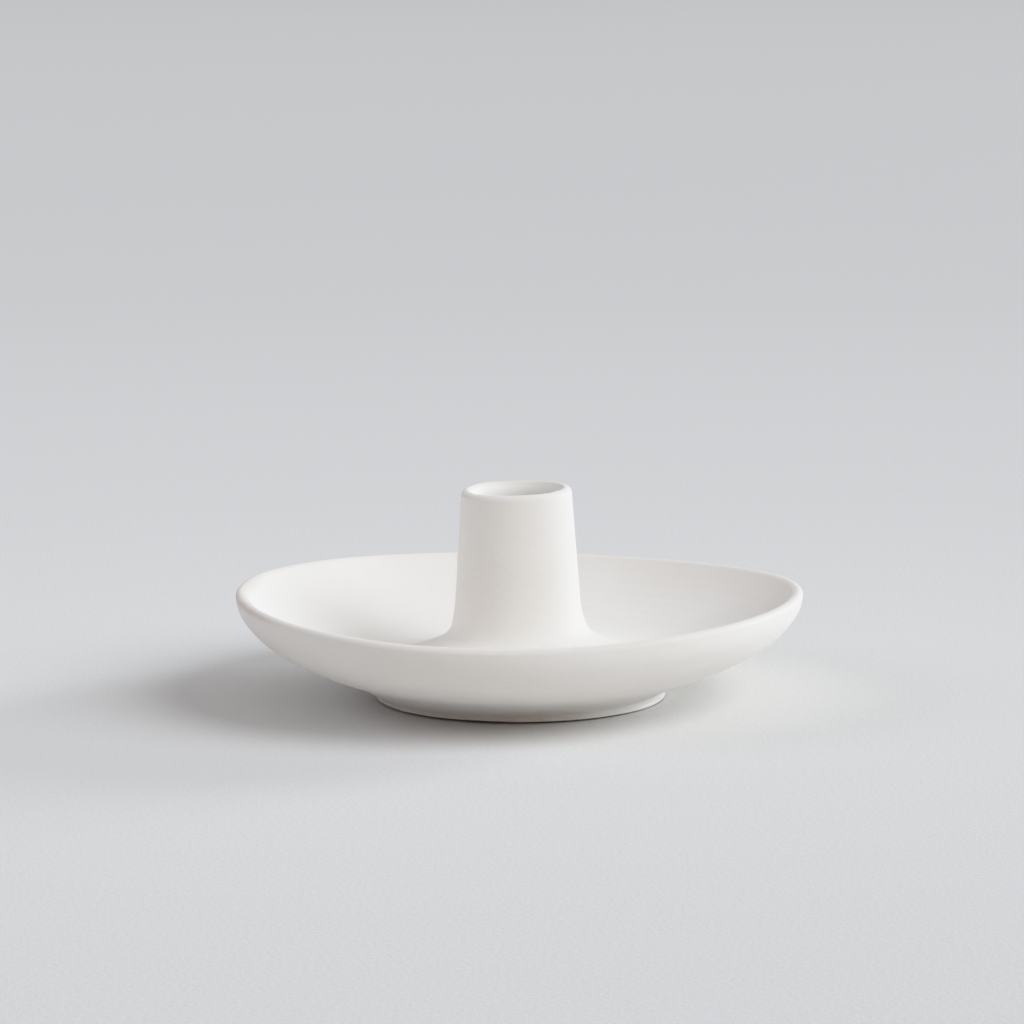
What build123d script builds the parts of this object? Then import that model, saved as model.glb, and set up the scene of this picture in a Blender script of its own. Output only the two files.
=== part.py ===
from build123d import *
import os
from math import asin, atan, atan2, cos, degrees, radians, sin

# Candle plate: a glazed stoneware dish on a foot ring, with a candle socket in the middle.
# Millimetres. +Z is up, the origin is the middle of the bearing face, and every piece is turned about Z.
# The visible outline is a chain of tangent arcs, given as (heading at the arc's end in degrees, radius).
# A radius of None is worked out, so that the chain ends where it has to.

# ---------------------------------------------------------------- driving dimensions
glaze_t = 0.4            # thickness of the glaze skin
slip_t = 0.4             # thickness of both beds of slip

rim_r = 75.0             # widest radius, glazed
rim_z = 27.6             # top of the lip, glazed
lip_turn = 86.0          # heading where the outside wall runs into the lip
lip_r = 1.4              # rounding of the lip on the outside, glazed
lip_in_r = 2.2           # rounding of the lip on the inside, glazed
lip_end = 226.4          # heading where the lip runs into the inside wall

foot_r = 38.45           # radius of the foot's thin outer edge, glazed
glaze_line_z = 0.9       # height of that edge; the glaze is wiped off below it
foot_flare = 155.0       # heading of the foot's upper side at its edge: it sweeps in going up
cove = (30.0, 0.51)      # narrow groove over the foot's edge
belly = [(18.9, 71.0), (30.1, 82.9), (54.0, None), (lip_turn, None)]   # a hollow sweep out of the foot, then the round belly

bearing_out_r = 35.5     # outer edge of the flat bearing face; outside it the underside curves up to the foot's edge
foot_inner_r = 32.5      # inner radius of the foot ring
foot_arris = 0.6         # rounding of the foot's inner edge
seat_z = 3.0             # underside of the dish over the foot ring
base_z = 2.4             # underside of the dish inside the foot ring: a step that centres the ring
base_corner_r = 0.7      # glaze pooled in the corner of the recess under the base

inside = [(190.9, None), (167.6, 18.8)]   # from the lip to the coil's outer edge
flare = [(152.6, 55.5), (104.9, 6.5)]     # up the worked coil, before its last arc
coil_top_z = 26.55       # upper edge of the worked coil
floor_z = 9.85           # bare clay floor in the middle of the dish
score_t = 0.3            # depth of the scored bands that the coil is worked into
collar_seat_z = 8.95     # bottom of the seat for the collar
collar_out_r = 16.88     # radius of the collar's foot and of its seat

socket_top_z = 55.55     # top of the socket, glazed
bore_r = 11.25           # the hole that takes a 22 mm candle, glazed
socket_lip_r = 1.67      # rounding of the socket's lip on the outside, and half of the lip's width, glazed
mouth_r = 0.7            # rounding of the lip on the inside
mouth_turn = 226.0       # heading where that rounding runs into the funnel that leads into the hole
socket_taper = 0.0675    # millimetres of radius for each millimetre of height
bore_corner_r = 1.0      # glaze pooled in the corner at the bottom of the hole


# ---------------------------------------------------------------- helpers: profiles lie in the XZ plane, X is radius
def line(a, b):
    return Edge.make_line(Vector(a[0], 0, a[1]), Vector(b[0], 0, b[1]))


def bend(a, b, c):
    return Edge.make_three_point_arc(Vector(a[0], 0, a[1]), Vector(b[0], 0, b[1]), Vector(c[0], 0, c[1]))


def reach(h0, h1):
    """How far a unit arc takes the outline while it turns from one heading to another."""
    s = 1 if h1 > h0 else -1
    a, b = radians(h0), radians(h1)
    return s * (sin(b) - sin(a)), s * (cos(a) - cos(b))


class Arc:
    """An arc of the glazed outline. Clay is on the left of the way it runs, so depth goes that way."""

    def __init__(self, start, h0, h1, radius):
        self.turn = 1 if h1 > h0 else -1
        self.h0, self.h1, self.radius = h0, h1, radius
        n = radians(h0 + 90 * self.turn)
        self.centre = (start[0] + radius * cos(n), start[1] + radius * sin(n))

    def at(self, heading, depth=0.0):
        n, r = radians(heading - 90 * self.turn), self.radius - self.turn * depth
        return self.centre[0] + r * cos(n), self.centre[1] + r * sin(n)

    def edge(self, depth=0.0, h0=None, h1=None):
        h0, h1 = self.h0 if h0 is None else h0, self.h1 if h1 is None else h1
        return bend(self.at(h0, depth), self.at((h0 + h1) / 2, depth), self.at(h1, depth))

    def heading(self, z, depth):
        """The heading where a hollow arc, at that depth, passes a height on its inner side."""
        return 90 - degrees(asin((z - self.centre[1]) / (self.radius - self.turn * depth)))


def chain(start, heading, arcs, end=None):
    """Tangent arcs one after another. Two unknown radii are solved so that the last one ends at end."""
    if end:
        want = [end[0] - start[0], end[1] - start[1]]
        unknown, h = [], heading
        for h1, r in arcs:
            dx, dz = reach(h, h1)
            if r is None:
                unknown.append((dx, dz))
            else:
                want = [want[0] - r * dx, want[1] - r * dz]
            h = h1
        (a, c), (b, d) = unknown
        det = a * d - b * c
        solved = [(want[0] * d - b * want[1]) / det, (a * want[1] - c * want[0]) / det]
        arcs = [(h1, solved.pop(0) if r is None else r) for h1, r in arcs]
    made = []
    for h1, r in arcs:
        made.append(Arc(start, heading, h1, r))
        start, heading = made[-1].at(h1), h1
    return made


def turned(edges):
    return revolve(Face(Wire(edges)), axis=Axis.Z)


# ---------------------------------------------------------------- the glazed outline, from the foot to the bore floor
foot_edge = (foot_r, glaze_line_z)
lip_out = (rim_r - lip_r + lip_r * sin(radians(lip_turn)), rim_z - lip_r - lip_r * cos(radians(lip_turn)))
hollow = chain(foot_edge, foot_flare, [cove])[0]
belly_arcs = chain(hollow.at(cove[0]), cove[0], belly, lip_out)
sweep = belly_arcs[0]
lip = chain(lip_out, lip_turn, [(180.0, lip_r), (lip_end, lip_in_r)])

lean = degrees(atan(socket_taper))
socket_lip_c = (bore_r + socket_lip_r, socket_top_z - socket_lip_r)
taper_top = (socket_lip_c[0] + socket_lip_r * cos(radians(lean)), socket_lip_c[1] + socket_lip_r * sin(radians(lean)))
turn_in = sin(radians(mouth_turn - 180))
funnel_r = (socket_lip_r - mouth_r * turn_in) / (1 - turn_in)
socket_lip = [Arc(taper_top, 90 + lean, 180.0, socket_lip_r)] + chain(
    (socket_lip_c[0], socket_top_z), 180.0, [(mouth_turn, mouth_r), (270.0, funnel_r)])
bore_top = socket_lip[-1].at(270.0)
taper_low = (taper_top[0] + (taper_top[1] - coil_top_z) * socket_taper, coil_top_z)
inner_arcs = chain(lip[-1].at(lip_end), lip_end, inside + flare + [(90 + lean, None)], taper_low)
inside_arcs, flare_arcs = inner_arcs[:len(inside)], inner_arcs[len(inside):]

bore_floor_z = floor_z + glaze_t
clay_bore_r = bore_r + glaze_t
bore_corner = Arc((bore_r, bore_floor_z + bore_corner_r), 270.0, 180.0, bore_corner_r)

# ---------------------------------------------------------------- where the bare clay pieces meet, under the glaze
slip_z = seat_z - slip_t
h_ring, h_seat = sweep.heading(slip_z, glaze_t), sweep.heading(seat_z, glaze_t)
foot_clay = hollow.at(foot_flare, glaze_t)
toe_turn = 2 * degrees(atan2(foot_clay[1], foot_clay[0] - bearing_out_r))
toe = Arc((bearing_out_r, 0), 0.0, toe_turn, foot_clay[1] / (1 - cos(radians(toe_turn))))
ring_top, seat_out = sweep.at(h_ring, glaze_t), sweep.at(h_seat, glaze_t)
coil_out = inside_arcs[-1].at(inside[-1][0], glaze_t)
coil_top = flare_arcs[-1].at(90 + lean, glaze_t)
score_z = floor_z - score_t
score_top = (coil_top[0] - score_t, coil_top[1])
collar_z = collar_seat_z + slip_t
lip_low = socket_lip[-1].at(270.0, glaze_t)

# ---------------------------------------------------------------- dish
dish = turned([
    line((0, base_z), (foot_inner_r, base_z)),
    line((foot_inner_r, base_z), (foot_inner_r, seat_z)),
    line((foot_inner_r, seat_z), seat_out),
    sweep.edge(glaze_t, h_seat),
    *[a.edge(glaze_t) for a in belly_arcs[1:]],
    *[a.edge(glaze_t) for a in lip],
    *[a.edge(glaze_t) for a in inside_arcs],
    line(coil_out, (coil_out[0], score_z)),
    line((coil_out[0], score_z), (collar_out_r, score_z)),
    line((collar_out_r, score_z), (collar_out_r, collar_seat_z)),
    line((collar_out_r, collar_seat_z), (clay_bore_r, collar_seat_z)),
    line((clay_bore_r, collar_seat_z), (clay_bore_r, floor_z)),
    line((clay_bore_r, floor_z), (0, floor_z)),
    line((0, floor_z), (0, base_z)),
])

# ---------------------------------------------------------------- foot ring and its bed of slip
foot_ring = turned([
    line((foot_inner_r + foot_arris, 0), (bearing_out_r, 0)),
    toe.edge(),
    hollow.edge(glaze_t),
    sweep.edge(glaze_t, cove[0], h_ring),
    line(ring_top, (foot_inner_r, slip_z)),
    line((foot_inner_r, slip_z), (foot_inner_r, foot_arris)),
    Arc((foot_inner_r, foot_arris), 270.0, 360.0, foot_arris).edge(),
])
foot_slip = turned([
    line((foot_inner_r, slip_z), ring_top),
    sweep.edge(glaze_t, h_ring, h_seat),
    line(seat_out, (foot_inner_r, seat_z)),
    line((foot_inner_r, seat_z), (foot_inner_r, slip_z)),
])

# ---------------------------------------------------------------- collar, its bed of slip, and the worked coil
candle_socket = turned([
    line((clay_bore_r, collar_z), (collar_out_r, collar_z)),
    line((collar_out_r, collar_z), (collar_out_r, score_z)),
    line((collar_out_r, score_z), score_top),
    line(score_top, coil_top),
    line(coil_top, socket_lip[0].at(90 + lean, glaze_t)),
    *[a.edge(glaze_t) for a in socket_lip],
    line(lip_low, (clay_bore_r, collar_z)),
])
socket_slip = turned([
    line((clay_bore_r, collar_seat_z), (collar_out_r, collar_seat_z)),
    line((collar_out_r, collar_seat_z), (collar_out_r, collar_z)),
    line((collar_out_r, collar_z), (clay_bore_r, collar_z)),
    line((clay_bore_r, collar_z), (clay_bore_r, collar_seat_z)),
])
socket_fillet = turned([
    line((collar_out_r, score_z), (coil_out[0], score_z)),
    line((coil_out[0], score_z), coil_out),
    *[a.edge(glaze_t) for a in flare_arcs],
    line(coil_top, score_top),
    line(score_top, (collar_out_r, score_z)),
])

# ---------------------------------------------------------------- glaze
glaze_coat = turned([
    hollow.edge(),
    *[a.edge() for a in belly_arcs],
    *[a.edge() for a in lip],
    *[a.edge() for a in inner_arcs],
    line(taper_low, taper_top),
    *[a.edge() for a in socket_lip],
    line(bore_top, (bore_r, bore_floor_z + bore_corner_r)),
    bore_corner.edge(),
    line((bore_r - bore_corner_r, bore_floor_z), (0, bore_floor_z)),
    line((0, bore_floor_z), (0, floor_z)),
    line((0, floor_z), (clay_bore_r, floor_z)),
    line((clay_bore_r, floor_z), lip_low),
    *[a.edge(glaze_t) for a in reversed(socket_lip)],
    line(socket_lip[0].at(90 + lean, glaze_t), coil_top),
    *[a.edge(glaze_t) for a in reversed(inner_arcs)],
    *[a.edge(glaze_t) for a in reversed(lip)],
    *[a.edge(glaze_t) for a in reversed(belly_arcs[1:])],
    sweep.edge(glaze_t, h_seat),
    sweep.edge(glaze_t, h_ring, h_seat),
    sweep.edge(glaze_t, cove[0], h_ring),
    hollow.edge(glaze_t),
    line(foot_clay, foot_edge),
])
recess = foot_inner_r - glaze_t
base_glaze = turned([
    line((0, base_z), (foot_inner_r, base_z)),
    line((foot_inner_r, base_z), (foot_inner_r, foot_arris)),
    line((foot_inner_r, foot_arris), (recess, foot_arris)),
    line((recess, foot_arris), (recess, base_z - glaze_t - base_corner_r)),
    Arc((recess, base_z - glaze_t - base_corner_r), 90.0, 180.0, base_corner_r).edge(),
    line((recess - base_corner_r, base_z - glaze_t), (0, base_z - glaze_t)),
    line((0, base_z - glaze_t), (0, base_z)),
])

# ---------------------------------------------------------------- one file for each piece
os.makedirs("parts", exist_ok=True)
for name, piece in {
    "dish": dish, "foot_ring": foot_ring, "foot_slip": foot_slip, "candle_socket": candle_socket,
    "socket_slip": socket_slip, "socket_fillet": socket_fillet, "glaze_coat": glaze_coat, "base_glaze": base_glaze,
}.items():
    export_step(piece, f"parts/{name}.step")
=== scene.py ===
from math import asin, atan, atan2, ceil, cos, degrees, pi, radians, sin, tan

import bpy
import numpy as np
from mathutils import Euler, Matrix, Vector


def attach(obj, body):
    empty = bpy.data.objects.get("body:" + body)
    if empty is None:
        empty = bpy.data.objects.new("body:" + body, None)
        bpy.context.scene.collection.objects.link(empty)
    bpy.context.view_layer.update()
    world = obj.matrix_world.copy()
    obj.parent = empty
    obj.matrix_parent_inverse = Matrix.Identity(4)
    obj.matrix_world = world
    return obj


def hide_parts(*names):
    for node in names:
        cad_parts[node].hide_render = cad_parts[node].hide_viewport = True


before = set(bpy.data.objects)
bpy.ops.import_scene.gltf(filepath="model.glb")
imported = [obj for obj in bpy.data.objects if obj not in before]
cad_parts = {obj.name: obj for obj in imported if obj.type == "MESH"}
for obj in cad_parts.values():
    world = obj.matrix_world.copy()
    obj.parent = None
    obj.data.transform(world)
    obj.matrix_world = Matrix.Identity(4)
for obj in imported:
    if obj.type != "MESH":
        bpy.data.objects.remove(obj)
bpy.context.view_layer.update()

MM = 0.001

# ------------------------------------------------------------------ the object's own numbers, in millimetres
glaze_t, slip_t = 0.4, 0.4
rim_r, rim_z, lip_turn, lip_r, lip_in_r, lip_end = 75.0, 27.6, 86.0, 1.4, 2.2, 226.4
foot_r, glaze_line_z, foot_flare = 38.45, 0.9, 155.0
cove = (30.0, 0.51)
belly = [(18.9, 71.0), (30.1, 82.9), (54.0, None), (lip_turn, None)]
bearing_out_r, foot_inner_r, foot_arris = 35.5, 32.5, 0.6
seat_z, base_z, base_corner_r = 3.0, 2.4, 0.7
inside = [(190.9, None), (167.6, 18.8)]
flare = [(152.6, 55.5), (104.9, 6.5)]
coil_top_z, floor_z, score_t, collar_seat_z, collar_out_r = 26.55, 9.85, 0.3, 8.95, 16.88
socket_top_z, bore_r, socket_lip_r, socket_taper, bore_corner_r = 55.55, 11.25, 1.67, 0.0675, 1.0
mouth_r, mouth_turn = 0.7, 226.0

# ------------------------------------------------------------------ the outline: tangent arcs, as the piece is turned


def reach(h0, h1):
    s = 1 if h1 > h0 else -1
    a, b = radians(h0), radians(h1)
    return s * (sin(b) - sin(a)), s * (cos(a) - cos(b))


class Arc:
    """An arc of the glazed outline. Clay is on the left of the way it runs, so depth goes that way."""

    def __init__(self, start, h0, h1, radius):
        self.turn = 1 if h1 > h0 else -1
        self.h0, self.h1, self.radius = h0, h1, radius
        n = radians(h0 + 90 * self.turn)
        self.centre = (start[0] + radius * cos(n), start[1] + radius * sin(n))

    def at(self, heading, depth=0.0):
        n, r = radians(heading - 90 * self.turn), self.radius - self.turn * depth
        return self.centre[0] + r * cos(n), self.centre[1] + r * sin(n)

    def heading(self, z, depth):
        return 90 - degrees(asin((z - self.centre[1]) / (self.radius - self.turn * depth)))

    def points(self, step, depth=0.0, h0=None, h1=None):
        h0, h1 = self.h0 if h0 is None else h0, self.h1 if h1 is None else h1
        r = self.radius - self.turn * depth
        n = max(3, int(ceil(max(r * abs(radians(h1 - h0)) / step, abs(h1 - h0) / 9.0))))
        return [self.at(h0 + (h1 - h0) * k / n, depth) for k in range(n + 1)]


def chain(start, heading, arcs, end=None):
    if end:
        want = [end[0] - start[0], end[1] - start[1]]
        unknown, h = [], heading
        for h1, r in arcs:
            dx, dz = reach(h, h1)
            if r is None:
                unknown.append((dx, dz))
            else:
                want = [want[0] - r * dx, want[1] - r * dz]
            h = h1
        (a, c), (b, d) = unknown
        det = a * d - b * c
        solved = [(want[0] * d - b * want[1]) / det, (a * want[1] - c * want[0]) / det]
        arcs = [(h1, solved.pop(0) if r is None else r) for h1, r in arcs]
    made = []
    for h1, r in arcs:
        made.append(Arc(start, heading, h1, r))
        start, heading = made[-1].at(h1), h1
    return made


def straight(a, b, step):
    n = max(1, int(ceil(((a[0] - b[0]) ** 2 + (a[1] - b[1]) ** 2) ** 0.5 / step)))
    return [(a[0] + (b[0] - a[0]) * k / n, a[1] + (b[1] - a[1]) * k / n) for k in range(n + 1)]


foot_edge = (foot_r, glaze_line_z)
lip_out = (rim_r - lip_r + lip_r * sin(radians(lip_turn)), rim_z - lip_r - lip_r * cos(radians(lip_turn)))
hollow = chain(foot_edge, foot_flare, [cove])[0]
belly_arcs = chain(hollow.at(cove[0]), cove[0], belly, lip_out)
sweep = belly_arcs[0]
lip = chain(lip_out, lip_turn, [(180.0, lip_r), (lip_end, lip_in_r)])
lean = degrees(atan(socket_taper))
socket_lip_c = (bore_r + socket_lip_r, socket_top_z - socket_lip_r)
taper_top = (socket_lip_c[0] + socket_lip_r * cos(radians(lean)), socket_lip_c[1] + socket_lip_r * sin(radians(lean)))
turn_in = sin(radians(mouth_turn - 180))
funnel_r = (socket_lip_r - mouth_r * turn_in) / (1 - turn_in)
socket_lip = [Arc(taper_top, 90 + lean, 180.0, socket_lip_r)] + chain(
    (socket_lip_c[0], socket_top_z), 180.0, [(mouth_turn, mouth_r), (270.0, funnel_r)])
bore_top = socket_lip[-1].at(270.0)
taper_low = (taper_top[0] + (taper_top[1] - coil_top_z) * socket_taper, coil_top_z)
inner_arcs = chain(lip[-1].at(lip_end), lip_end, inside + flare + [(90 + lean, None)], taper_low)
inside_arcs, flare_arcs = inner_arcs[:len(inside)], inner_arcs[len(inside):]
bore_floor_z, clay_bore_r = floor_z + glaze_t, bore_r + glaze_t
bore_corner = Arc((bore_r, bore_floor_z + bore_corner_r), 270.0, 180.0, bore_corner_r)
slip_z = seat_z - slip_t
h_ring, h_seat = sweep.heading(slip_z, glaze_t), sweep.heading(seat_z, glaze_t)
foot_clay = hollow.at(foot_flare, glaze_t)
toe_turn = 2 * degrees(atan2(foot_clay[1], foot_clay[0] - bearing_out_r))
toe = Arc((bearing_out_r, 0), 0.0, toe_turn, foot_clay[1] / (1 - cos(radians(toe_turn))))
ring_top, seat_out = sweep.at(h_ring, glaze_t), sweep.at(h_seat, glaze_t)
coil_out = inside_arcs[-1].at(inside[-1][0], glaze_t)
coil_top = flare_arcs[-1].at(90 + lean, glaze_t)
score_z, collar_z = floor_z - score_t, collar_seat_z + slip_t
score_top = (coil_top[0] - score_t, coil_top[1])
lip_low = socket_lip[-1].at(270.0, glaze_t)

# ------------------------------------------------------------------ how the hand-made piece departs from a true round


def step01(a, b, x):
    t = np.clip((x - a) / (b - a), 0, 1)
    return t * t * (3 - 2 * t)


def hand(p):
    """Moves points (millimetres) as one body: the rim's saddle, the socket's lean, its uneven mouth, and an uneven foot."""
    x, y, z = p[:, 0], p[:, 1], p[:, 2]
    r, phi = np.hypot(x, y), np.arctan2(y, x)
    far = np.clip((r - 38.0) / (rim_r - 38.0), 0, 1) ** 1.5
    saddle = -0.70 * np.cos(phi) + 1.377 * np.cos(2 * phi) - 0.458 * np.sin(2 * phi) + 0.116 * np.cos(3 * phi) - 0.165 * np.sin(3 * phi)
    saddle += 0.05 * np.sin(5 * phi + 0.7) + 0.03 * np.sin(8 * phi + 2.1)
    saddle -= 0.22 * ((1 + np.cos(phi + 1.85)) / 2) ** 2 + 0.18 * ((1 + np.cos(phi + 2.45)) / 2) ** 8
    out_of_round = far * (0.10 * np.sin(3 * phi + 1.1) + 0.06 * np.sin(5 * phi + 0.4))
    near = 1 - step01(24.0, 36.0, r)
    up = near * step01(10.3, 24.5, z)
    shift = -0.18 * far + up * (-0.47 - tan(radians(0.21)) * np.clip(z - 14.5, 0, None))
    pinch = up * (0.06 * np.sin(2 * phi + 0.9) + 0.04 * np.sin(3 * phi + 2.4))
    top = near * step01(30.5, 53.5, z)
    mouth = top * (-0.11 + (0.376 * x + 0.18 * y) / (bore_r + socket_lip_r))
    mouth += top * (0.05 * np.sin(3 * phi + 0.8) + 0.03 * np.sin(5 * phi + 2.9)) * step01(3.0, 10.0, r)
    mouth += top * 0.30 * ((1 + np.cos(phi - 2.72)) / 2) ** 6 * step01(3.0, 10.0, r)
    grow = (out_of_round + pinch) / np.maximum(r, 1e-6) * step01(0.0, 4.0, r)
    foot = step01(33.2, 37.0, r) * (1 - step01(40.0, 47.0, r)) * (1 - step01(4.5, 8.0, z))
    right = ((1 + np.cos(phi + 0.2)) / 2) ** 2
    uneven = foot * (step01(1.1, 1.75, z) * (0.60 * right - 0.08)
                     + step01(35.8, 37.6, r) * step01(0.0, 0.7, z) * (1 - step01(1.1, 1.7, z)) * (0.20 - 0.50 * right))
    return np.column_stack([x * (1 + grow) + shift, y * (1 + grow) - 0.9 * foot, z + far * saddle + mouth + uneven])


# ------------------------------------------------------------------ turning a profile into a mesh


def join(*runs):
    made = []
    for run in runs:
        for p in run:
            if not made or abs(p[0] - made[-1][0]) + abs(p[1] - made[-1][1]) > 1e-6:
                made.append((float(p[0]), float(p[1])))
    return made


def turned(name, profile, segments, sharp=30.0, dress=None):
    """Revolves a profile. One that starts and ends on the axis closes with two poles, any other one is a loop."""
    profile = list(profile)
    poles = profile[0][0] < 1e-6 and profile[-1][0] < 1e-6
    if not poles and abs(profile[0][0] - profile[-1][0]) + abs(profile[0][1] - profile[-1][1]) < 1e-6:
        profile.pop()
    rings = profile[1:-1] if poles else profile
    ring = np.array(rings)
    t = np.arange(segments) * 2 * pi / segments
    co = np.stack([ring[:, :1] * np.cos(t), ring[:, :1] * np.sin(t), np.repeat(ring[:, 1:], segments, 1)], 2).reshape(-1, 3)
    index = np.arange(len(rings) * segments).reshape(len(rings), segments)
    nxt = np.roll(index, -1, 1)
    if poles:
        a, b, c, d = index[:-1], nxt[:-1], nxt[1:], index[1:]
    else:
        a, b, c, d = index, nxt, np.roll(nxt, -1, 0), np.roll(index, -1, 0)
    faces = [tuple(f) for f in np.stack([a, b, c, d], 2).reshape(-1, 4).tolist()]
    if poles:
        first, last = len(co), len(co) + 1
        co = np.vstack([co, [[0, 0, profile[0][1]], [0, 0, profile[-1][1]]]])
        faces += [(first, int(nxt[0, k]), int(index[0, k])) for k in range(segments)]
        faces += [(last, int(index[-1, k]), int(nxt[-1, k])) for k in range(segments)]
    loop = profile + [profile[0]]
    area = sum(p[0] * q[1] - q[0] * p[1] for p, q in zip(loop, loop[1:]))
    if area < 0:
        faces = [f[::-1] for f in faces]
    if dress is not None:
        co = dress(co)
    co = hand(co) * MM
    mesh = bpy.data.meshes.new(name)
    mesh.from_pydata(co.tolist(), [], faces)
    mesh.polygons.foreach_set("use_smooth", [True] * len(mesh.polygons))
    mesh.set_sharp_from_angle(angle=radians(sharp))
    mesh.validate()
    mesh.update()
    piece = bpy.data.objects.new(name, mesh)
    bpy.context.scene.collection.objects.link(piece)
    return piece


def note(piece, name, values):
    """Keeps a number for each point of a mesh, for its material to read."""
    layer = piece.data.attributes.new(name, "FLOAT", "POINT")
    layer.data.foreach_set("value", np.asarray(values, np.float32))


# ------------------------------------------------------------------ pieces under the glaze
SEG_IN = 192
dish = turned("stoneware_dish", join(
    straight((0, base_z), (foot_inner_r, base_z), 4.0), straight((foot_inner_r, base_z), (foot_inner_r, seat_z), 1.0),
    straight((foot_inner_r, seat_z), seat_out, 2.0), sweep.points(1.5, glaze_t, h_seat),
    *[a.points(2.0, glaze_t) for a in belly_arcs[1:]], *[a.points(0.5, glaze_t) for a in lip], *[a.points(2.0, glaze_t) for a in inside_arcs],
    [(coil_out[0], score_z)], straight((coil_out[0], score_z), (collar_out_r, score_z), 4.0), [(collar_out_r, collar_seat_z)],
    straight((collar_out_r, collar_seat_z), (clay_bore_r, collar_seat_z), 2.0), [(clay_bore_r, floor_z)],
    straight((clay_bore_r, floor_z), (0, floor_z), 3.0)), SEG_IN)
foot_slip = turned("foot_slip_bed", join(
    straight((foot_inner_r, slip_z), ring_top, 2.0), sweep.points(0.3, glaze_t, h_ring, h_seat),
    straight(seat_out, (foot_inner_r, seat_z), 2.0), [(foot_inner_r, slip_z)]), SEG_IN)
candle_socket = turned("stoneware_socket", join(
    straight((clay_bore_r, collar_z), (collar_out_r, collar_z), 2.0), [(collar_out_r, score_z)],
    straight((collar_out_r, score_z), score_top, 2.0), [coil_top],
    straight(coil_top, socket_lip[0].at(90 + lean, glaze_t), 2.0), *[a.points(0.4, glaze_t) for a in socket_lip],
    straight(lip_low, (clay_bore_r, collar_z), 2.0)), SEG_IN)
socket_slip = turned("socket_slip_bed", join(
    straight((clay_bore_r, collar_seat_z), (collar_out_r, collar_seat_z), 1.5), [(collar_out_r, collar_z)],
    straight((collar_out_r, collar_z), (clay_bore_r, collar_z), 1.5), [(clay_bore_r, collar_seat_z)]), SEG_IN)
socket_fillet = turned("stoneware_fillet", join(
    straight((collar_out_r, score_z), (coil_out[0], score_z), 2.0), [coil_out],
    *[a.points(1.0, glaze_t) for a in flare_arcs], [score_top],
    straight(score_top, (collar_out_r, score_z), 2.0)), SEG_IN)

# ------------------------------------------------------------------ foot ring: its bearing face is bare clay, wiped and worn
SEG = 288


def three_points(a, b, c, n):
    """An arc through three points."""
    (ax, az), (bx, bz), (cx, cz) = a, b, c
    d = 2 * (ax * (bz - cz) + bx * (cz - az) + cx * (az - bz))
    ux = ((ax * ax + az * az) * (bz - cz) + (bx * bx + bz * bz) * (cz - az) + (cx * cx + cz * cz) * (az - bz)) / d
    uz = ((ax * ax + az * az) * (cx - bx) + (bx * bx + bz * bz) * (ax - cx) + (cx * cx + cz * cz) * (bx - ax)) / d
    t = np.unwrap([np.arctan2(p[1] - uz, p[0] - ux) for p in (a, b, c)])
    r = np.hypot(ax - ux, az - uz)
    return [(ux + r * cos(s), uz + r * sin(s)) for s in np.linspace(t[0], t[2], n + 1)]


def wiped(co):
    """Fine turning lines in the bearing face, cut upwards, so that the ring still stands on its flats."""
    r = np.hypot(co[:, 0], co[:, 1])
    phi = np.arctan2(co[:, 1], co[:, 0])
    on = (co[:, 2] < 1e-6) * step01(33.1, 33.5, r) * (1 - step01(35.1, 35.5, r))
    cut = np.clip(np.sin(r * 2 * pi / 0.9 + 0.5 * np.sin(phi)) - 0.1, 0, 1) ** 1.5
    co = co.copy()
    co[:, 2] += 0.05 * on * cut
    return co


foot_ring = turned("stoneware_foot_ring", join(
    straight((foot_inner_r + foot_arris, 0), (bearing_out_r, 0), 0.18),
    toe.points(0.15), hollow.points(0.2, glaze_t), sweep.points(0.4, glaze_t, cove[0], h_ring),
    straight(ring_top, (foot_inner_r, slip_z), 2.0), straight((foot_inner_r, slip_z), (foot_inner_r, foot_arris), 0.5),
    Arc((foot_inner_r, foot_arris), 270.0, 360.0, foot_arris).points(0.1)), SEG, dress=wiped)
ring_at = np.array([v.co[:] for v in foot_ring.data.vertices]) / MM
ring_r = np.hypot(ring_at[:, 0], ring_at[:, 1])
# Painted shade: the toe and the inner edge of the bearing face are near black-brown, for the shade in the crease where
# the ring meets the floor, over some real toasting of the bare clay.
note(foot_ring, "painted_shade_and_browning", np.maximum(step01(35.6, 36.9, ring_r), 0.8 * (1 - step01(32.6, 33.3, ring_r))))

# ------------------------------------------------------------------ glaze: one skin over all that shows from above
outer = join(hollow.points(0.1), sweep.points(0.5), *[a.points(0.8) for a in belly_arcs[1:]], *[a.points(0.2) for a in lip], *[a.points(0.8) for a in inside_arcs],
             *[a.points(0.6) for a in flare_arcs], straight(taper_low, taper_top, 0.9), *[a.points(0.2) for a in socket_lip],
             straight(bore_top, (bore_r, bore_floor_z + bore_corner_r), 1.2), bore_corner.points(0.25),
             straight((bore_r - bore_corner_r, bore_floor_z), (0, bore_floor_z), 1.5))
under = join(straight((0, floor_z), (clay_bore_r, floor_z), 3.0), straight((clay_bore_r, floor_z), lip_low, 3.0),
             *[reversed(a.points(0.4, glaze_t)) for a in reversed(socket_lip)], straight(socket_lip[0].at(90 + lean, glaze_t), coil_top, 3.0),
             *[reversed(a.points(2.0, glaze_t)) for a in reversed(inner_arcs)], *[reversed(a.points(0.5, glaze_t)) for a in reversed(lip)],
             *[reversed(a.points(2.0, glaze_t)) for a in reversed(belly_arcs)], reversed(hollow.points(0.3, glaze_t)))
bead = three_points(foot_clay, ((foot_clay[0] + foot_edge[0]) / 2 + 0.10, (foot_clay[1] + foot_edge[1]) / 2 - 0.07), foot_edge, 6)


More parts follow.
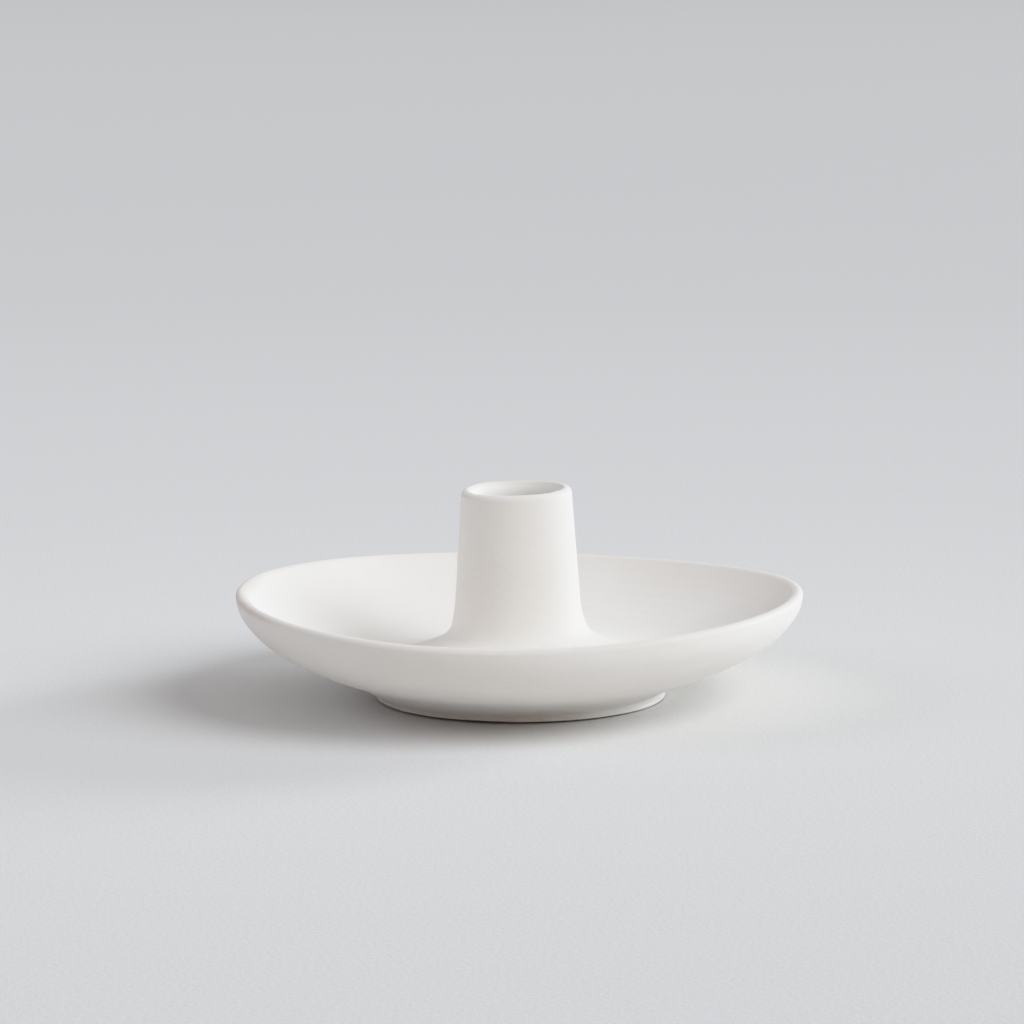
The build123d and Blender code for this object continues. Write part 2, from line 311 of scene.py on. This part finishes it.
def hand_glazed(co):
    """A lower edge that wavers, and the faint rings that fingers leave on a turning pot. Only the outer skin has them."""
    r, z, phi = np.hypot(co[:, 0], co[:, 1]), co[:, 2], np.arctan2(co[:, 1], co[:, 0])
    waver = 0.09 * np.sin(3 * phi + 0.4) + 0.06 * np.sin(7 * phi + 1.9) + 0.04 * np.sin(13 * phi + 0.2)
    edge = (1 - step01(0.9, 1.15, z)) * (r > 37.0)
    dz = 0.6 * waver * edge
    skin = np.zeros(len(co))
    first = (len(under) + len(bead) - 2) * SEG
    skin[first:len(co) - 2] = 1
    belly_rings = step01(41.0, 46.0, r) * (1 - step01(68.0, 73.0, r))
    wall_rings = (1 - step01(16.0, 19.0, r)) * step01(24.5, 28.5, z) * (1 - step01(50.5, 53.0, z)) * (r > 12.6)
    ripple = belly_rings * (0.020 * np.sin(r * 2 * pi / 3.7 + phi) + 0.014 * np.sin(r * 2 * pi / 2.3 - phi + 1.3))
    co = co.copy()
    grow = skin * wall_rings * 0.016 * np.sin(z * 2 * pi / 3.1 + phi) / np.maximum(r, 1e-6)
    co[:, 0] *= 1 + grow
    co[:, 1] *= 1 + grow
    co[:, 2] += dz + skin * ripple
    return co


skin_profile = join(under, bead, outer)
glaze_coat = turned("white_glaze_coat", skin_profile, SEG, sharp=50.0, dress=hand_glazed)


def along(profile, segments):
    """Radius, height and number in the profile for each point of a mesh that ends in two poles."""
    p = np.array(profile)
    k = np.concatenate([np.repeat(np.arange(1, len(p) - 1), segments), [0, len(p) - 1]])
    return p[k, 0], p[k, 1], k


gr, gz, gk = along(skin_profile, SEG)
lip_mid = lip[0].centre
to_lip = np.hypot(gr - lip_mid[0], gz - lip_mid[1])
crest = (1 - step01(1.3, 2.8, to_lip)) * step01(-1.0, 0.6, gz - lip_mid[1])
to_mouth = np.hypot(gr - socket_lip_c[0], gz - socket_lip_c[1])
mouth = (1 - step01(1.6, 2.6, to_mouth)) * step01(-0.6, 0.9, gz - socket_lip_c[1])
low = (1 - step01(0.85, 1.2, gz)) * (gr > 37.5)
note(glaze_coat, "thin", np.clip(np.maximum(np.maximum(crest, 0.4 * mouth), low), 0, 1))
valley = (1 - step01(10.25, 13.0, gz)) * step01(20.0, 30.0, gr) * (1 - step01(48.0, 56.0, gr))
groove = (1 - step01(0.0, 0.8, np.hypot(gr - 38.15, gz - 1.40))) * (gr > 37.0)
# Whiter glaze inside the bore: pooled glaze, and painted light that brightens the inside of the mouth.
bore = (1 - step01(bore_r + 0.4, bore_r + 1.4, gr)) * (1 - step01(socket_top_z - 0.9, socket_top_z - 0.2, gz))
note(glaze_coat, "pooled", np.clip(np.maximum(0.6 * np.maximum(valley, groove), bore), 0, 1))
glaze_at = np.array([v.co[:] for v in glaze_coat.data.vertices]) / MM
gphi = np.arctan2(glaze_at[:, 1], glaze_at[:, 0])
# Painted shade: browner and darker low on the belly by the foot, strongest on the front-left side away from the lights;
# all round there is only a faint browning where the glaze thins.
by_foot = (1 - step01(1.3, 5.5, gz)) * (gr > 36.5) * (0.03 + 0.97 * step01(-0.1, 0.5, np.cos(gphi + 2.6)))
outer_lip = (1 - step01(1.6, 3.4, to_lip)) * step01(-0.9, 0.3, gz - lip_mid[1])
# Painted shade: the outer side of the lip goes browner and darker only at its left end, the side away from the lights.
# It shares one attribute with the foot's painted shade above.
note(glaze_coat, "painted_shade_and_browning", np.maximum(by_foot, 0.7 * outer_lip * step01(0.88, 0.985, np.cos(gphi - 3.28))))

recess = foot_inner_r - glaze_t
base_profile = join(
    straight((0, base_z), (foot_inner_r, base_z), 3.0), straight((foot_inner_r, base_z), (foot_inner_r, foot_arris), 0.6),
    three_points((foot_inner_r, foot_arris), (foot_inner_r - glaze_t / 2, foot_arris - 0.10), (recess, foot_arris), 6),
    straight((recess, foot_arris), (recess, base_z - glaze_t - base_corner_r), 0.3),
    Arc((recess, base_z - glaze_t - base_corner_r), 90.0, 180.0, base_corner_r).points(0.12),
    straight((recess - base_corner_r, base_z - glaze_t), (0, base_z - glaze_t), 0.7))


def trimmed(co):
    """The spiral that the trimming tool leaves under a pot, seen through the glaze, and a lower edge that wavers."""
    r, z, phi = np.hypot(co[:, 0], co[:, 1]), co[:, 2], np.arctan2(co[:, 1], co[:, 0])
    face = (z < base_z - 0.3) * (z > base_z - glaze_t - 0.01) * (1 - step01(29.0, 31.0, r)) * step01(0.3, 2.0, r)
    edge = (1 - step01(0.7, 1.2, z)) * (r > 31.0)
    co = co.copy()
    co[:, 2] += 0.025 * face * np.sin(r * 2 * pi / 4.2 - phi)
    co[:, 2] += edge * (0.08 * np.sin(4 * phi + 1.0) + 0.05 * np.sin(9 * phi + 2.0))
    return co


base_glaze = turned("white_glaze_base", base_profile, SEG, sharp=50.0, dress=trimmed)
br, bz, bk = along(base_profile, SEG)
note(base_glaze, "thin", np.clip(1 - step01(0.6, 1.3, bz), 0, 1))
note(base_glaze, "pooled", (1 - step01(0.4, 2.2, np.hypot(br - recess + 0.2, bz - base_z + glaze_t))) * (br < foot_inner_r - 0.01))

# ------------------------------------------------------------------ materials


def shader(name):
    m = bpy.data.materials.new(name)
    m.use_nodes = True
    tree = m.node_tree
    return m, tree.nodes, tree.links, next(n for n in tree.nodes if n.type == "BSDF_PRINCIPLED")


def noise_of(nodes, links, place, scale, detail, rough=0.5, distortion=0.0):
    n = nodes.new("ShaderNodeTexNoise")
    n.noise_dimensions = "3D"
    n.inputs["Scale"].default_value = scale
    n.inputs["Detail"].default_value = detail
    n.inputs["Roughness"].default_value = rough
    n.inputs["Distortion"].default_value = distortion
    links.new(place, n.inputs["Vector"])
    return n.outputs["Fac"]


def ramp(nodes, links, fac, stops):
    n = nodes.new("ShaderNodeValToRGB")
    e = n.color_ramp.elements
    while len(e) < len(stops):
        e.new(0.5)
    for s, (pos, col) in zip(e, stops):
        s.position = pos
        s.color = (*col, 1)
    links.new(fac, n.inputs["Fac"])
    return n.outputs["Color"]


def span(nodes, links, value, a, b, c, d):
    n = nodes.new("ShaderNodeMapRange")
    for k, v in zip(("From Min", "From Max", "To Min", "To Max"), (a, b, c, d)):
        n.inputs[k].default_value = v
    links.new(value, n.inputs["Value"])
    return n.outputs["Result"]


def mixed(nodes, links, fac, a, b, mode="MIX"):
    n = nodes.new("ShaderNodeMix")
    n.data_type = "RGBA"
    n.blend_type = mode
    for socket, v in zip((n.inputs[0], n.inputs[6], n.inputs[7]), (fac, a, b)):
        if isinstance(v, (int, float)):
            socket.default_value = v
        elif isinstance(v, tuple):
            socket.default_value = (*v, 1)
        else:
            links.new(v, socket)
    return n.outputs[2]


def summed(nodes, links, a, b, mode="ADD"):
    n = nodes.new("ShaderNodeMath")
    n.operation = mode
    for socket, v in zip(n.inputs, (a, b)):
        if isinstance(v, (int, float)):
            socket.default_value = v
        else:
            links.new(v, socket)
    return n.outputs[0]


def place_of(nodes):
    return nodes.new("ShaderNodeTexCoord").outputs["Object"]


def attribute(nodes, name):
    n = nodes.new("ShaderNodeAttribute")
    n.attribute_type = "GEOMETRY"
    n.attribute_name = name
    return n.outputs["Fac"]


def bump(nodes, links, height, strength, distance, normal=None):
    n = nodes.new("ShaderNodeBump")
    n.inputs["Strength"].default_value = strength
    n.inputs["Distance"].default_value = distance
    links.new(height, n.inputs["Height"])
    if normal is not None:
        links.new(normal, n.inputs["Normal"])
    return n.outputs["Normal"]


def glaze_material():
    """Matt white glaze: faint clouds of tone, warmer where it is thin over an edge, cooler and smoother where it has
    pooled, and whiter in the bore as painted light; browner and darker by the foot and at the lip's left end as painted
    shade.
    """
    m, nodes, links, out = shader("matt_white_glaze")
    place = place_of(nodes)
    clouds = ramp(nodes, links, noise_of(nodes, links, place, 38.0, 3.0, 0.55, 0.3),
                  [(0.30, (0.930, 0.889, 0.842)), (0.70, (0.957, 0.921, 0.876))])
    grain = ramp(nodes, links, noise_of(nodes, links, place, 1500.0, 2.0, 0.5),
                 [(0.25, (0.975, 0.972, 0.968)), (0.60, (1.0, 1.0, 1.0))])
    body = mixed(nodes, links, 1.0, clouds, grain, "MULTIPLY")
    patchy = span(nodes, links, noise_of(nodes, links, place, 160.0, 3.0, 0.6), 0.3, 0.7, 0.45, 1.0)
    thin = summed(nodes, links, attribute(nodes, "thin"), patchy, "MULTIPLY")
    body = mixed(nodes, links, summed(nodes, links, thin, 0.55, "MULTIPLY"), body, (0.922, 0.868, 0.806))
    pooled = attribute(nodes, "pooled")
    body = mixed(nodes, links, summed(nodes, links, pooled, 0.85, "MULTIPLY"), body, (0.978, 0.950, 0.910))
    # Painted shade: a brown, darker colour mixed in by the foot and at the lip's left end, where the mesh marks shade.
    shade_at_foot_and_lip = summed(nodes, links, attribute(nodes, "painted_shade_and_browning"), patchy, "MULTIPLY")
    body = mixed(nodes, links, summed(nodes, links, shade_at_foot_and_lip, 0.8, "MULTIPLY"), body, (0.720, 0.610, 0.530))
    links.new(body, out.inputs["Base Color"])
    satin = span(nodes, links, noise_of(nodes, links, place, 300.0, 4.0, 0.6), 0.3, 0.7, 0.50, 0.62)
    links.new(summed(nodes, links, satin, summed(nodes, links, pooled, 0.08, "MULTIPLY"), "SUBTRACT"), out.inputs["Roughness"])
    out.inputs["Diffuse Roughness"].default_value = 0.8
    out.inputs["IOR"].default_value = 1.48
    out.inputs["Specular IOR Level"].default_value = 0.42
    soft = bump(nodes, links, noise_of(nodes, links, place, 120.0, 2.0, 0.5), 0.35, 0.00012)
    fine = bump(nodes, links, noise_of(nodes, links, place, 1900.0, 3.0, 0.6), 0.30, 0.00002, soft)
    links.new(fine, out.inputs["Normal"])
    return m


def clay_material(name, dark, light, rough):
    """Bare fired stoneware: buff, with fine sand and a few darker grains, dark brown along the edges of the bearing
    face as painted shade for the crease at the floor, with some real toasting.
    """
    m, nodes, links, out = shader(name)
    place = place_of(nodes)
    clouds = ramp(nodes, links, noise_of(nodes, links, place, 70.0, 4.0, 0.6, 0.2), [(0.3, dark), (0.7, light)])
    sand = ramp(nodes, links, noise_of(nodes, links, place, 1300.0, 3.0, 0.65), [(0.30, (0.86, 0.84, 0.81)), (0.62, (1.0, 1.0, 1.0))])
    cells = nodes.new("ShaderNodeTexVoronoi")
    cells.inputs["Scale"].default_value = 620.0
    links.new(place, cells.inputs["Vector"])
    specks = ramp(nodes, links, cells.outputs["Distance"], [(0.10, (0.62, 0.52, 0.42)), (0.20, (1.0, 1.0, 1.0))])
    body = mixed(nodes, links, 1.0, clouds, sand, "MULTIPLY")
    body = mixed(nodes, links, 0.55, body, specks, "MULTIPLY")
    # Painted shade: dark brown mixed in where the mesh marks the crease at the floor, partly real toasting of the clay.
    crease_shade_and_toast = summed(nodes, links, attribute(nodes, "painted_shade_and_browning"), span(nodes, links, noise_of(nodes, links, place, 260.0, 3.0, 0.6), 0.3, 0.7, 0.7, 1.0), "MULTIPLY")
    body = mixed(nodes, links, crease_shade_and_toast, body, (0.150, 0.100, 0.068))
    links.new(body, out.inputs["Base Color"])
    links.new(span(nodes, links, noise_of(nodes, links, place, 500.0, 3.0, 0.6), 0.3, 0.7, rough - 0.08, rough + 0.06), out.inputs["Roughness"])
    out.inputs["Specular IOR Level"].default_value = 0.25
    coarse = bump(nodes, links, noise_of(nodes, links, place, 420.0, 4.0, 0.65), 0.5, 0.00006)
    links.new(bump(nodes, links, noise_of(nodes, links, place, 2600.0, 3.0, 0.7), 0.5, 0.00002, coarse), out.inputs["Normal"])
    return m


white = glaze_material()
clay = clay_material("bare_stoneware", (0.640, 0.585, 0.510), (0.735, 0.690, 0.620), 0.82)
slip = clay_material("fired_slip", (0.560, 0.510, 0.440), (0.640, 0.595, 0.525), 0.90)

for piece, node, slot_name, material in (
    (dish, "dish", "stoneware", clay), (foot_ring, "foot_ring", "stoneware", clay), (foot_slip, "foot_slip", "slip", slip),
    (candle_socket, "candle_socket", "stoneware", clay), (socket_slip, "socket_slip", "slip", slip),
    (socket_fillet, "socket_fillet", "stoneware", clay), (glaze_coat, "glaze_coat", "white_glaze", white),
    (base_glaze, "base_glaze", "white_glaze", white),
):
    piece.data.materials.append(material)
    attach(piece, "root")
    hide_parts(node)

# ------------------------------------------------------------------ floor: one wide sheet of pale paper, lighter near the middle as a painted pool of light


def floor_material():
    m, nodes, links, out = shader("pale_paper")
    place = place_of(nodes)
    distance = nodes.new("ShaderNodeVectorMath")
    distance.operation = "LENGTH"
    links.new(place, distance.inputs[0])
    # Painted light: the paper's colour is lighter near the middle and darker further out, a pool of light painted into
    # the floor.
    far = span(nodes, links, distance.outputs["Value"], 0.0, 12.0, 0.0, 1.0)
    tone = ramp(nodes, links, far, [(0.0, (0.791, 0.770, 0.745)), (0.012, (0.791, 0.770, 0.745)), (0.03, (0.750, 0.730, 0.707)),
                                    (0.05, (0.733, 0.713, 0.691)), (0.094, (0.690, 0.672, 0.651)), (0.17, (0.672, 0.654, 0.634)), (1.0, (0.630, 0.614, 0.594))])
    grain = ramp(nodes, links, noise_of(nodes, links, place, 900.0, 3.0, 0.6), [(0.30, (0.955, 0.955, 0.955)), (0.65, (1.0, 1.0, 1.0))])
    links.new(mixed(nodes, links, 1.0, tone, grain, "MULTIPLY"), out.inputs["Base Color"])
    out.inputs["Roughness"].default_value = 0.92
    out.inputs["Specular IOR Level"].default_value = 0.1
    links.new(bump(nodes, links, noise_of(nodes, links, place, 750.0, 4.0, 0.65), 0.5, 0.00018), out.inputs["Normal"])
    return m


radii = [0.0, 0.05, 0.1, 0.2, 0.4, 0.8, 1.6, 3.2, 6.4, 12.0, 20.0, 30.0]
around = np.arange(96) * 2 * pi / 96
points = [(0.0, 0.0, 0.0)] + [(r * cos(a), r * sin(a), 0.0) for r in radii[1:] for a in around]
quads = [(0, 1 + k, 1 + (k + 1) % 96) for k in range(96)]
for j in range(len(radii) - 2):
    quads += [(1 + j * 96 + k, 1 + (j + 1) * 96 + k, 1 + (j + 1) * 96 + (k + 1) % 96, 1 + j * 96 + (k + 1) % 96) for k in range(96)]
sheet = bpy.data.meshes.new("floor")
sheet.from_pydata(points, [], quads)
sheet.update()
floor = bpy.data.objects.new("floor", sheet)
bpy.context.scene.collection.objects.link(floor)
floor.data.materials.append(floor_material())

# ------------------------------------------------------------------ light: an even room and three wide soft lights
scene = bpy.context.scene
world = bpy.data.worlds.new("soft_room")
scene.world = world
world.use_nodes = True
room = next(n for n in world.node_tree.nodes if n.type == "BACKGROUND")
room.inputs["Color"].default_value = (1.0, 0.98, 0.98, 1)
room.inputs["Strength"].default_value = 0.402

# name, direction that it comes from (azimuth from +X, elevation), how wide it is, all in degrees, and its strength in red, green and blue
for name, azimuth, elevation, wide, strength in (
    ("key_right", -22.0, 36.0, 44.0, (1.755, 1.905, 2.05)),
    ("low_right", 30.0, 12.0, 20.0, (1.38, 1.56, 1.735)),
    ("fill_left", 180.0, 30.0, 30.0, (0.336, 0.387, 0.495)),
):
    lamp = bpy.data.lights.new(name, "SUN")
    lamp.energy = max(strength)
    lamp.color = [v / max(strength) for v in strength]
    lamp.angle = radians(wide)
    az, el = radians(azimuth), radians(elevation)
    way = Vector((cos(az) * cos(el), sin(az) * cos(el), sin(el)))
    light = bpy.data.objects.new(name, lamp)
    light.rotation_euler = (-way).to_track_quat("-Z", "Y").to_euler()
    light.location = 3.0 * way
    scene.collection.objects.link(light)

# ------------------------------------------------------------------ camera
camera_data = bpy.data.cameras.new("camera")
camera_data.sensor_width = 36.0
camera_data.lens = 3826.5 / 1024 * 36.0
camera_data.clip_start, camera_data.clip_end = 0.05, 100.0
camera = bpy.data.objects.new("camera", camera_data)
camera.location = (0.0, -1.0, 0.19831)
aim = Euler((radians(90 - 8.486), 0, radians(0.102))).to_matrix() @ Matrix.Rotation(radians(-0.55), 3, "Z")
camera.rotation_euler = aim.to_euler()
scene.collection.objects.link(camera)
scene.camera = camera
scene.view_settings.view_transform = "Standard"
scene.view_settings.look = "None"
scene.view_settings.use_curve_mapping = True
response = scene.view_settings.curve_mapping
response.clip_max_x = response.clip_max_y = 2.0
shoulder = response.curves[3]
shoulder.points[1].location = (2.0, 0.996)
for tone in ((0.7, 0.7), (0.8, 0.785), (0.9, 0.846), (1.0, 0.890), (1.15, 0.933), (1.35, 0.966), (1.6, 0.985)):
    shoulder.points.new(*tone)
for point in shoulder.points:
    point.handle_type = "VECTOR"
response.update()
